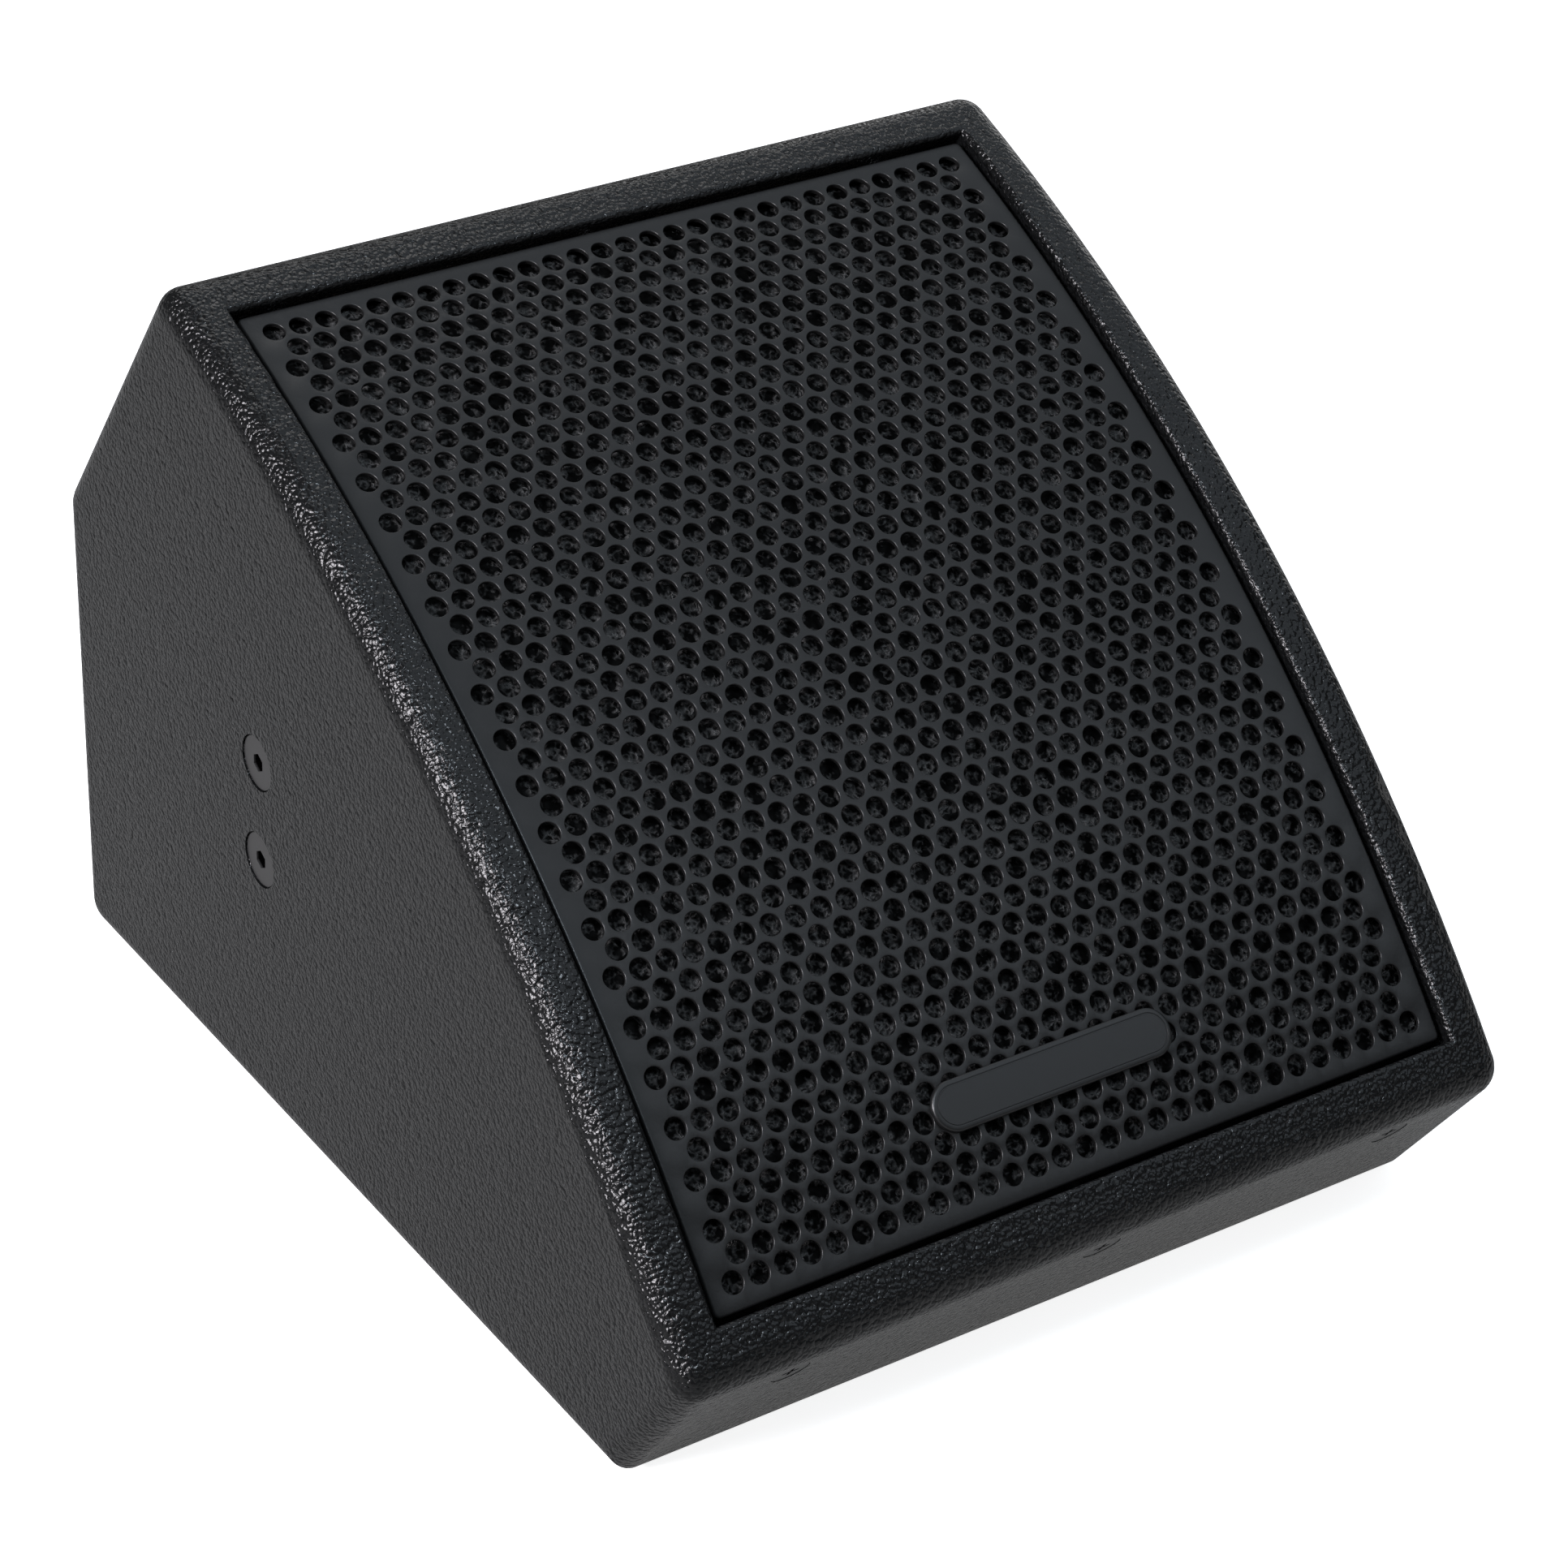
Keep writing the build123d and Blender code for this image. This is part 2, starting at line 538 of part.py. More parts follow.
# ---- low-frequency driver, all in the driver frame ----
def driver():
    """Eight-inch woofer with a bored pole and the horn that stands in its cone."""
    gasket = tube(BAFFLE_HOLE + 0.2, DRIVER_RADIUS - 0.5, 0, GASKET)
    gasket -= ring_copies(rod(3.0, -1, 9), DRIVER_BOLTS, DRIVER_BOLT_CIRCLE, BOLT_START)

    face = GASKET + FLANGE
    basket = turned([
        (FLANGE_HOLE, face), (DRIVER_RADIUS - 1, face), (DRIVER_RADIUS, face - 1), (DRIVER_RADIUS, GASKET),
        (92.5, GASKET), (92.5, -7), (68, SHELF - 1), (66, SHELF - 3), (60, PLATE_TOP + 7),
        (60, PLATE_TOP), (32, PLATE_TOP), (32, PLATE_TOP + 3), (57, PLATE_TOP + 3), (57, SHELF - 3),
        (SPIDER_RADIUS - 6, SHELF - 3), (SPIDER_RADIUS - 6, SHELF), (65, SHELF), (FLANGE_HOLE, -6)])
    window = extrude(Plane.XY.offset(SHELF + 3) * Trapezoid(46, 24, 96, rotation=-90), amount=26)
    basket -= ring_copies(window, 6, 82)
    basket -= ring_copies(rod(2.8, -9, 9), DRIVER_BOLTS, DRIVER_BOLT_CIRCLE, BOLT_START)

    bolt = Pos(0, 0, face) * pan_screw(4.6, 3.0, 2.5, 24)
    nut = tube(2.5 + FLOAT, TEE_NUT_BARREL, -PANEL, -4) + tube(2.5 + FLOAT, 8.5, -PANEL - 1.2, -PANEL)
    bolts = ring_copies(bolt, DRIVER_BOLTS, DRIVER_BOLT_CIRCLE, BOLT_START)
    nuts = ring_copies(nut, DRIVER_BOLTS, DRIVER_BOLT_CIRCLE, BOLT_START)

    coil_top = PLATE_TOP - TOP_PLATE / 2 + WINDING / 2
    former = tube(COIL_RADIUS - 0.4, COIL_RADIUS, coil_top - WINDING - 1, NECK + 1)
    winding = tube(COIL_RADIUS, COIL_RADIUS + 0.7, coil_top - WINDING, coil_top)
    thick = 1.0
    cone = turned([(COIL_RADIUS, NECK), (CONE_RADIUS, face - 1.0), (CONE_RADIUS, face),
                   (CONE_RADIUS - 1, face), (COIL_RADIUS, NECK + thick * 1.9)])

    roll_middle = (CONE_RADIUS + FLANGE_HOLE + 1) / 2
    roll_radius = roll_middle - CONE_RADIUS - 0.8
    roll = turned_ring(roll_middle, roll_radius, roll_radius - 0.9, face)
    lands = tube(FLANGE_HOLE - 0.4, FLANGE_HOLE + 4.5, face, face + 0.9)
    lands += tube(CONE_RADIUS - 4, CONE_RADIUS + 1.2, face, face + 0.9)
    surround = roll + lands

    spider_points = []
    waves = 5
    steps = waves * 8
    inner = COIL_RADIUS + 0.02
    span = SPIDER_RADIUS - 5 - inner
    for i in range(steps + 1):
        r = inner + (SPIDER_RADIUS - 5 - inner) * i / steps
        ramp = min(1, i / 6, (steps - i) / 6)
        spider_points.append((r, SHELF + 0.9 + 1.4 * ramp * sin(2 * pi * waves * (r - inner) / span)))
    top_line = [(r, z + 0.45) for r, z in spider_points]
    bottom_line = [(r, z - 0.45) for r, z in reversed(spider_points)]
    spider = turned(top_line + bottom_line) + tube(SPIDER_RADIUS - 5.2, SPIDER_RADIUS, SHELF, SHELF + 1.2)

    plate_low = PLATE_TOP - TOP_PLATE
    magnet_low = plate_low - MAGNET
    yoke_low = magnet_low - YOKE
    top_plate = tube(COIL_RADIUS + 1.2, 52, plate_low, PLATE_TOP)
    magnet = tube(30, 55, magnet_low, plate_low)
    pole = COIL_RADIUS - 1.1
    yoke = turned([(THROAT, PLATE_TOP + 1), (pole, PLATE_TOP + 1), (pole, magnet_low + 3),
                   (pole + 2, magnet_low), (52, magnet_low), (52, yoke_low + 1), (51, yoke_low),
                   (SNOUT, yoke_low), (SNOUT, yoke_low + 5), (THROAT, yoke_low + 5)])
    horn = turned([(THROAT, PLATE_TOP + 1), (17.5, NECK), (20, NECK + 7), (32.4, NECK + 22),
                   (33.5, NECK + 21), (21.6, NECK + 7), (19.2, NECK - 1), (THROAT + 3.4, PLATE_TOP + 1)])
    terminal = block(57, TERMINAL_REACH, -9, 9, PLATE_TOP + 1, PLATE_TOP + 3) - rod(60.05, -HUGE, HUGE)
    tabs = [block(66, 70, y - 1.5, y + 1.5, PLATE_TOP - 4, PLATE_TOP + 1) for y in (-5, 5)]
    terminal += tabs

    made = {
        "driver_gasket": gasket,
        "driver_basket": basket,
        "driver_bolts": Compound(bolts),
        "driver_tee_nuts": Compound(nuts),
        "woofer_surround": surround,
        "woofer_cone": cone,
        "woofer_spider": spider,
        "voice_coil_former": former,
        "voice_coil_winding": winding,
        "woofer_top_plate": top_plate,
        "woofer_magnet": magnet,
        "woofer_yoke": yoke,
        "horn": horn,
        "driver_terminals": terminal,
    }
    return {name: DRIVER * solid for name, solid in made.items()}


def turned_ring(middle, outer, inner, base):
    """Half roll of a surround, open side down on the height base."""
    section = Plane.XZ * Pos(middle, base) * (Circle(outer) - Circle(inner))
    roll = revolve(section, Axis.Z, 360)
    return roll & tube(middle - outer - 1, middle + outer + 1, base, base + outer + 1)


# ---- high-frequency driver, screwed into the back of the woofer's yoke ----
def compression_driver():
    """One-inch throat compression driver with its dome, coil and phase plug."""
    start = PLATE_TOP - TOP_PLATE - MAGNET - YOKE
    front_low = start - 6
    gap_top = front_low - 9
    rear_face = gap_top - 6
    dome = HF_COIL
    body = HF_BODY
    pole = dome - 0.9
    front = turned([(THROAT, start + 5), (SNOUT - FLOAT, start + 5), (SNOUT - FLOAT, start), (body, start),
                    (body, front_low), (pole, front_low), (pole, rear_face), (THROAT, rear_face)])
    magnet = tube(dome + 4, body - 3, gap_top, front_low)
    plate = tube(dome + 1.2, body, rear_face, gap_top)
    plate -= ring_copies(rod(1.5, rear_face - 1, rear_face + 5), 4, HF_BOLT_CIRCLE, 45)

    plug_low = rear_face + 1.5
    plug_ring = tube(9.2, THROAT - FLOAT, plug_low, plug_low + 12.5)
    plug_core = turned([(0, plug_low), (7.4, plug_low), (6, plug_low + 8.5), (0, plug_low + 18.5)])
    ribs = block(-10, 10, -0.7, 0.7, rear_face + 4, rear_face + 9)
    plug = plug_ring + plug_core + ribs + Rot(0, 0, 90) * ribs

    winding = tube(dome, dome + 0.5, rear_face + 0.4, rear_face + 3.4)
    seat = rear_face - 1.2
    ball = (dome * dome + DOME_RISE * DOME_RISE) / (2 * DOME_RISE)
    middle_z = seat - 0.7 + ball - DOME_RISE
    shell = Pos(0, 0, middle_z) * (Sphere(ball) - Sphere(ball - 0.5))
    dome_cap = shell & rod(dome - 0.25, seat - 0.7 - DOME_RISE - 1, seat - 0.7)
    dome_cap += tube(dome - 1.2, dome + 0.6, seat - 0.9, seat - 0.7)
    dome_cap += tube(dome - 0.25, dome, seat - 0.7, rear_face + 3.6)
    brim = tube(dome + 0.6, dome + 5.4, seat - 0.9, seat - 0.7)
    mounting = tube(dome + 5.4, HF_BOLT_CIRCLE - 3, rear_face - 3, rear_face)
    back = rear_face - HF_COVER
    wall = HF_BOLT_CIRCLE - 2.8
    cover = turned([(0, back), (body - 3, back), (body, back + 3), (body, rear_face), (wall, rear_face),
                    (wall, rear_face - 8), (wall - 3.2, back + 2), (0, back + 2)])
    cover -= ring_copies(rod(1.6, -HUGE, 0), 4, HF_BOLT_CIRCLE, 45)
    cover -= ring_copies(rod(3.2, -HUGE, back + 4), 4, HF_BOLT_CIRCLE, 45)
    screw_one = Rot(180, 0, 0) * pan_screw(2.9, 2.0, 1.5, HF_COVER - 4 + 4.5)
    screws = ring_copies(Pos(0, 0, back + 4) * screw_one, 4, HF_BOLT_CIRCLE, 45)
    made = {
        "hf_front_plate": front,
        "hf_magnet": magnet,
        "hf_rear_plate": plate,
        "hf_phase_plug": plug,
        "hf_diaphragm": dome_cap,
        "hf_suspension": brim,
        "hf_coil_winding": winding,
        "hf_mounting_ring": mounting,
        "hf_rear_cover": cover,
        "hf_cover_screws": Compound(screws),
    }
    return {name: DRIVER * solid for name, solid in made.items()}


# ---- input plate on the back ----
def input_plate():
    """Sunk steel plate with two four-pole loudspeaker sockets."""
    low = -PLATE_RECESS
    face = low + PLATE_SHEET
    half_w = PLATE_WIDTH / 2
    half_h = PLATE_HEIGHT / 2
    plate = block(-half_w, half_w, -half_h, half_h, low, face)
    plate = fillet(plate.edges().filter_by(Axis.Z), 5)
    plate -= [rod(1.9, -HUGE, HUGE, x, y) for x, y in PLATE_SCREWS]
    screws = [Pos(x, y, face) * pan_screw(3.5, 2.2, 1.55, 9) for x, y in PLATE_SCREWS]

    half = SOCKET_WIDTH / 2
    tall = SOCKET_HEIGHT / 2
    lip = face + SOCKET_LIP
    bottom = lip - SOCKET_DEPTH
    flange = block(-half, half, -tall, tall, face, lip)
    flange = fillet(flange.edges().filter_by(Axis.Z), 3)
    socket = flange + rod(SOCKET_BARREL, bottom, face)
    socket -= rod(SOCKET_BORE, bottom + 4, HUGE)
    socket += rod(SOCKET_CORE, bottom + 3.9, lip - 2)
    socket -= rod(2.2, bottom + 8, HUGE)
    socket += [rod(1.3, bottom - 7, bottom + 0.1, x, y) for x in (-7, 7) for y in (-7, 7)]
    sink = turned([(0, 1), (3.1, 1), (3.1, -0.4), (1.65, -1.6), (1.65, -9), (0, -9)])
    head, _ = screw(2.9, 1.5, 9, 1, 1)
    head -= block(-2, 2, -0.35, 0.35, -1, 1)
    corners = [(-half + 3.4, -tall + 3.4), (half - 3.4, tall - 3.4)]
    socket -= [Pos(x, y, lip) * sink for x, y in corners]
    socket_screws = []
    for middle in SOCKET_X:
        plate -= rod(SOCKET_BARREL + 0.15, -HUGE, HUGE, middle, 0)
        plate -= [rod(1.6, -HUGE, HUGE, middle + x, y) for x, y in corners]
        socket_screws += [Pos(middle + x, y, lip - 0.05) * head for x, y in corners]
    made = {
        "input_plate": plate,
        "input_plate_screws": Compound(screws),
        "speaker_socket_right": Pos(SOCKET_X[0], 0, 0) * socket,
        "speaker_socket_left": Pos(SOCKET_X[1], 0, 0) * socket,
        "socket_screws": Compound(socket_screws),
    }
    return {name: REAR * Pos(0, PLATE_MIDDLE, 0) * solid for name, solid in made.items()}


# ---- crossover, damping pad and internal cables ----
def crossover():
    """Passive crossover on spacers on the right side panel."""
    half_w = BOARD_WIDTH / 2
    half_h = BOARD_HEIGHT / 2
    face = BOARD_STANDOFF + BOARD_SHEET
    board = block(-half_w, half_w, -half_h, half_h, BOARD_STANDOFF, face)
    board = fillet(board.edges().filter_by(Axis.Z), 3)
    board -= [rod(1.7, -HUGE, HUGE, x, y) for x, y in BOARD_SCREWS]
    spacers = [tube(1.7, 3.6, 0, BOARD_STANDOFF, x, y) for x, y in BOARD_SCREWS]
    board_screw = pan_screw(3.0, 2.0, 1.45, face + 10)
    screws = [Pos(x, y, face) * board_screw for x, y in BOARD_SCREWS]

    choke = tube(CHOKE_RADIUS * 0.45, CHOKE_RADIUS, face, face + CHOKE_HEIGHT)
    choke = fillet(choke.edges().filter_by(GeomType.CIRCLE), 1.2)
    chokes = [Pos(x, COIL_Y, 0) * choke for x in COIL_X]

    can = rod(CAPACITOR_RADIUS, -CAPACITOR_LENGTH / 2, CAPACITOR_LENGTH / 2)
    can = chamfer(can.edges().filter_by(GeomType.CIRCLE), 0.8)
    seat = face + CAPACITOR_RADIUS + FLOAT
    cans = [Pos(CAPACITOR_X, y, seat) * Rot(0, 90, 0) * can for y in CAPACITOR_Y]

    half_r = RESISTOR_WIDTH / 2
    brick = block(-half_r, half_r, 0, RESISTOR_LENGTH, face, face + RESISTOR_WIDTH)
    brick = chamfer(brick.edges().filter_by(Axis.Y), 0.8)
    bricks = [Pos(x, CAPACITOR_Y[0] - CAPACITOR_RADIUS, 0) * brick for x in RESISTOR_X]
    made = {
        "crossover_board": board,
        "board_spacers": Compound(spacers),
        "board_screws": Compound(screws),
        "inductors": Compound(chokes),
        "capacitors": Compound(cans),
        "resistors": Compound(bricks),
    }
    return {name: BOARD * solid for name, solid in made.items()}


def damping_pad():
    """Absorbent pad under the top panel, behind the baffle."""
    inside = SLOPE_HALF - PANEL
    pad = block(-100, 100, inside - 15, inside, -126, -BAFFLE_DEPTH - PANEL - CLEAT)
    return {"damping_pad": SLOPE * fillet(pad.edges(), 4)}


def cable(points):
    """Round cable through points, straight runs joined by tangent arcs."""
    radii = []
    for i in range(1, len(points) - 1):
        before = points[i] - points[i - 1]
        after = points[i + 1] - points[i]
        half_turn = radians(before.get_angle(after)) / 2
        reach = 0.45 * min(before.length, after.length)
        radii.append(reach * cos(half_turn) / sin(half_turn))
    path = FilletPolyline(*points, radius=radii)
    start = Plane(origin=points[0], z_dir=points[1] - points[0])
    return sweep(start * Circle(CABLE_RADIUS), path=path)


def spot(frame, x, y, z):
    return (frame * Pos(x, y, z)).position


def cables():
    """Leads from a socket to the crossover and on to both voice coils."""
    board_face = BOARD_STANDOFF + BOARD_SHEET
    from_socket = spot(BOARD, -20, 42, board_face)
    to_woofer = spot(BOARD, 22, 40, board_face)
    to_horn = spot(BOARD, 2, 42, board_face)
    socket_end = -PLATE_RECESS + PLATE_SHEET + SOCKET_LIP - SOCKET_DEPTH
    socket = spot(REAR, SOCKET_X[0], PLATE_MIDDLE, socket_end)
    woofer = spot(DRIVER, 68, 0, PLATE_TOP + 1)
    under_woofer = spot(DRIVER, 68, 0, PLATE_TOP - 18)
    horn_side = spot(DRIVER, HF_BODY, 0, PLATE_TOP - TOP_PLATE - MAGNET - YOKE - 27)
    beside_horn = horn_side + Vector(16, 0, 0)
    routes = {
        "input_cable": [socket, socket + Vector(0, -16, 0), socket + Vector(26, -22, 14),
                        from_socket + Vector(-26, 0, -2), from_socket + Vector(-9, 0, 0), from_socket],
        "woofer_cable": [to_woofer, to_woofer + Vector(-12, 0, 0), under_woofer + Vector(10, 2, -3),
                         under_woofer, woofer],
        "horn_cable": [to_horn, to_horn + Vector(-14, 0, 0), to_horn + Vector(-30, 0, -14),
                       beside_horn + Vector(4, 6, 10), beside_horn, horn_side],
    }
    return {name: cable(points) for name, points in routes.items()}


parts = {}
parts.update(cabinet())
parts.update(grille_parts())
parts.update(hardware())
parts.update(driver())
parts.update(compression_driver())
parts.update(input_plate())
parts.update(crossover())
parts.update(damping_pad())
parts.update(cables())

os.makedirs("parts", exist_ok=True)
for name, solid in parts.items():
    export_step(solid, f"parts/{name}.step")
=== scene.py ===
import json
import math

import bmesh
import bpy
from mathutils import Matrix, Vector, noise
from mathutils.geometry import delaunay_2d_cdt


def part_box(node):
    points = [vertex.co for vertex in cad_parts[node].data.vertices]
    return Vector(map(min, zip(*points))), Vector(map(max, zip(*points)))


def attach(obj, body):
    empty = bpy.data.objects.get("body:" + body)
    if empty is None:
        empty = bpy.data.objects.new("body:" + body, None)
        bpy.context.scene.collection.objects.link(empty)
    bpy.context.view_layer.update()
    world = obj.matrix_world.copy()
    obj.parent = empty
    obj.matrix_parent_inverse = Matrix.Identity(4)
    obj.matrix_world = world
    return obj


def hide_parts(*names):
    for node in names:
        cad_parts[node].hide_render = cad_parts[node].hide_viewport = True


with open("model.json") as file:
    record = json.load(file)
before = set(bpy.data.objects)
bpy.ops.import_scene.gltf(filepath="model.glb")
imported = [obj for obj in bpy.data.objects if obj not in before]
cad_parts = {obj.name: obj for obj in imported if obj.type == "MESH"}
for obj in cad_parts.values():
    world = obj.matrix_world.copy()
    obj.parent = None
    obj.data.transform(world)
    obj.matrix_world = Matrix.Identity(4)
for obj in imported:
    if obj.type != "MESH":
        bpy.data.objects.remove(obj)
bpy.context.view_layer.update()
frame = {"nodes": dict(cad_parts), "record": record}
NODES = frame["nodes"]
MM = 0.001

# ---- the slope frame, as in the CAD: x across, y up the slope, z out of the grille ----
SLOPE_ANGLE = math.radians(35)
COS = math.cos(SLOPE_ANGLE)
SIN = math.sin(SLOPE_ANGLE)
CROWN = Vector((0, -45.9, 166)) * MM
RADIUS = 600.0


def slope(x, y, z):
    """World place, in metres, of a point in the slope frame, in millimetres."""
    return CROWN + Vector((x, COS * y - SIN * z, SIN * y + COS * z)) * MM


def arc_point(x, arc, out):
    """Slope frame point on the grille's curve, arc mm down from the crown, out mm proud of it."""
    angle = arc / RADIUS
    return x, -(RADIUS + out) * math.sin(angle), -RADIUS + (RADIUS + out) * math.cos(angle)


def on_grille(x, arc, out=0.0):
    return slope(*arc_point(x, arc, out))


# ---- materials ----
class Nodes:
    """Short-hand for building one node material. An input named i0, i1 and so on is given by its place."""

    def __init__(self, name):
        self.material = bpy.data.materials.new(name)
        self.material.use_nodes = True
        self.tree = self.material.node_tree
        self.shader = self.tree.nodes["Principled BSDF"]
        self.coords = self.tree.nodes.new("ShaderNodeTexCoord").outputs["Object"]

    def put(self, kind, settings=None, **inputs):
        node = self.tree.nodes.new(kind)
        for key, value in (settings or {}).items():
            setattr(node, key, value)
        for key, value in inputs.items():
            self.feed(node.inputs[int(key[1:]) if key[0] == "i" and key[1:].isdigit() else key], value)
        return node

    def feed(self, socket, value):
        if isinstance(value, bpy.types.NodeSocket):
            self.tree.links.new(value, socket)
        else:
            socket.default_value = value

    def noise(self, scale, detail=2.0, roughness=0.5, distortion=0.0, vector=None):
        node = self.put("ShaderNodeTexNoise", Scale=scale, Detail=detail, Roughness=roughness,
                        Distortion=distortion, Vector=vector or self.coords)
        return node.outputs["Fac"]

    def voronoi(self, scale, feature, vector, **more):
        node = self.put("ShaderNodeTexVoronoi", {"feature": feature}, Scale=scale, Vector=vector, **more)
        return node.outputs["Distance"]

    def math(self, operation, a, b=0.0, c=0.0):
        node = self.put("ShaderNodeMath", {"operation": operation}, i0=a, i1=b, i2=c)
        return node.outputs[0]

    def span(self, value, low, high, to_low, to_high):
        node = self.put("ShaderNodeMapRange", {"clamp": True}, Value=value)
        for key, number in (("From Min", low), ("From Max", high), ("To Min", to_low), ("To Max", to_high)):
            node.inputs[key].default_value = number
        return node.outputs[0]

    def blend(self, factor, a, b):
        node = self.put("ShaderNodeMix", {"data_type": "RGBA"})
        self.feed(node.inputs[0], factor)
        self.feed(node.inputs[6], a)
        self.feed(node.inputs[7], b)
        return node.outputs[2]

    def bump(self, height, distance, strength):
        node = self.put("ShaderNodeBump", Height=height, Distance=distance, Strength=strength)
        return node.outputs["Normal"]

    def warped(self, scale, detail, reach):
        """The object coordinates, pushed about by up to reach metres."""
        push = self.put("ShaderNodeTexNoise", Scale=scale, Detail=detail, Vector=self.coords).outputs["Color"]
        node = self.put("ShaderNodeVectorMath", {"operation": "MULTIPLY_ADD"},
                        i0=push, i1=(reach,) * 3, i2=self.coords)
        return node.outputs[0]

    def stretched(self, scale):
        node = self.put("ShaderNodeMapping", Vector=self.coords)
        node.inputs["Scale"].default_value = scale
        return node.outputs[0]

    def finish(self, color, roughness, normal=None, **extra):
        """Feed the shader; a socket's spaces are written as underscores in extra."""
        self.feed(self.shader.inputs["Base Color"], color)
        self.feed(self.shader.inputs["Roughness"], roughness)
        if normal is not None:
            self.feed(self.shader.inputs["Normal"], normal)
        for key, value in extra.items():
            self.feed(self.shader.inputs[key.replace("_", " ")], value)
        return self.material


def grey(value, tint=0.0):
    """Neutral colour, a little towards blue for a positive tint."""
    return (value * (1 - tint), value, value * (1 + tint), 1)


def darker(color, factor):
    """The colour times a factor, still opaque."""
    return tuple(c * factor for c in color[:3]) + (1,)


def coat():
    """Sprayed pebble coating: rounded grains about a millimetre across with small pits between."""
    m = Nodes("pebble_coat")
    grains = m.voronoi(760, "SMOOTH_F1", m.warped(420, 1, 0.0012), Smoothness=0.3)
    dome = m.math("MULTIPLY", grains, grains)
    drift = m.noise(330, 3, 0.5)
    height = m.math("MULTIPLY_ADD", dome, -1.0, drift)
    flecks = m.noise(900, 2, 0.6)
    color = m.blend(m.span(flecks, 0.3, 0.5, 0, 1), grey(0.0005), grey(0.0045, 0.05))
    rough = m.span(flecks, 0.28, 0.42, 0.42, 0.24)
    return m.finish(color, rough, m.bump(height, 0.00045, 1.0), Specular_IOR_Level=0.27)


def satin_coat(name, shade, rough, scale=1400, depth=0.00004, shine=0.5):
    """Powder coat with a faint orange peel."""
    m = Nodes(name)
    peel = m.noise(scale, 2, 0.5)
    speck = m.noise(6000, 1, 0.5)
    color = m.blend(m.span(speck, 0.35, 0.7, 0, 1), grey(shade * 0.8), grey(shade * 1.15, 0.03))
    return m.finish(color, m.span(peel, 0.3, 0.7, rough - 0.05, rough + 0.06), m.bump(peel, depth, 0.6),
                    Specular_IOR_Level=shine)


def socket_screw_painted_shade(name, shade, face):
    """Black oxide with painted shade down in the drive sockets: near black and smoother below the heads' faces,
    which lie at |x| = face metres.
    """
    m = Nodes(name)
    across = m.put("ShaderNodeSeparateXYZ", Vector=m.coords).outputs["X"]
    # Painted shade mask: 0 down in the drive sockets, 1 on the heads' faces.
    clear_of_painted_shade = m.span(m.math("ABSOLUTE", across), face - 0.0008, face - 0.0002, 0, 1)
    speck = m.noise(5000, 2, 0.5)
    shades = m.blend(speck, grey(shade * 0.85), grey(shade * 1.1))
    # Painted shade: near black colour inside the sockets, speckled oxide on the faces.
    return m.finish(m.blend(clear_of_painted_shade, grey(0.0006), shades), m.span(clear_of_painted_shade, 0, 1, 0.16, 0.4),
                    m.bump(speck, 0.00001, 0.6), Specular_IOR_Level=0.4)


def foam_cells():
    """Open-cell foam: uneven pale strands with painted shade between them, black pores and black patches where
    the open cells lie deep in shade.
    """
    m = Nodes("open_cell_foam")
    edge = m.voronoi(520, "DISTANCE_TO_EDGE", m.warped(500, 3, 0.0022))
    strand = m.span(edge, 0.0, 0.34, 1, 0)
    # Painted shade mask: 0 over the black void patches, 1 where the strands show.
    void_shade_mask = m.span(m.noise(270, 2, 0.6), 0.44, 0.66, 0, 1)
    pale = m.math("MULTIPLY", strand, void_shade_mask)
    # Painted shade: near black between the strands and over the void patches, pale grey on the strands.
    color = m.blend(pale, grey(0.0003), grey(0.09))
    return m.finish(color, 0.6, m.bump(pale, 0.0008, 1.0), Specular_IOR_Level=0.05)


def moulded(name, shade, rough):
    """Matt moulded plastic, rubber or ferrite with a fine grain."""
    m = Nodes(name)
    grain = m.noise(2600, 3, 0.6)
    color = m.blend(m.noise(60, 2), grey(shade * 0.85), grey(shade * 1.15))
    return m.finish(color, m.span(grain, 0.3, 0.7, rough - 0.04, rough + 0.07), m.bump(grain, 0.00004, 0.5))


def metal(name, color, rough, brush=0.0):
    """Bare or plated metal, brushed across Z by a brush above zero."""
    m = Nodes(name)
    lines = m.noise(1800, 3, 0.6, vector=m.stretched((1, 1, 1 + brush)))
    shade = m.blend(m.noise(140, 3), darker(color, 0.75), color)
    return m.finish(shade, m.span(lines, 0.3, 0.7, rough - 0.06, rough + 0.08), m.bump(lines, 0.00002, 0.4),
                    Metallic=1.0)


def cloth(name, color, rough=0.85, scale=900):
    """Felt, pressed paper or resin-treated cloth, with tangled fibres."""
    m = Nodes(name)
    fibres = m.noise(scale, 5, 0.7, 1.2)
    return m.finish(m.blend(fibres, darker(color, 0.5), color), rough, m.bump(fibres, 0.0006, 0.8),
                    Sheen_Weight=0.15)


def plywood(name, color):
    """Wood with its grain along X."""
    m = Nodes(name)
    grain = m.noise(28, 5, 0.65, 0.8, vector=m.stretched((1, 14, 14)))
    return m.finish(m.blend(grain, darker(color, 0.55), color), 0.7, m.bump(grain, 0.0002, 0.5))


def clouded(name, color, rough):
    """Coloured plastic, laminate or ceramic, uneven in shade."""
    m = Nodes(name)
    shade = m.blend(m.noise(220, 3), darker(color, 0.7), color)
    return m.finish(shade, rough, m.bump(m.noise(2400, 2), 0.00003, 0.4))


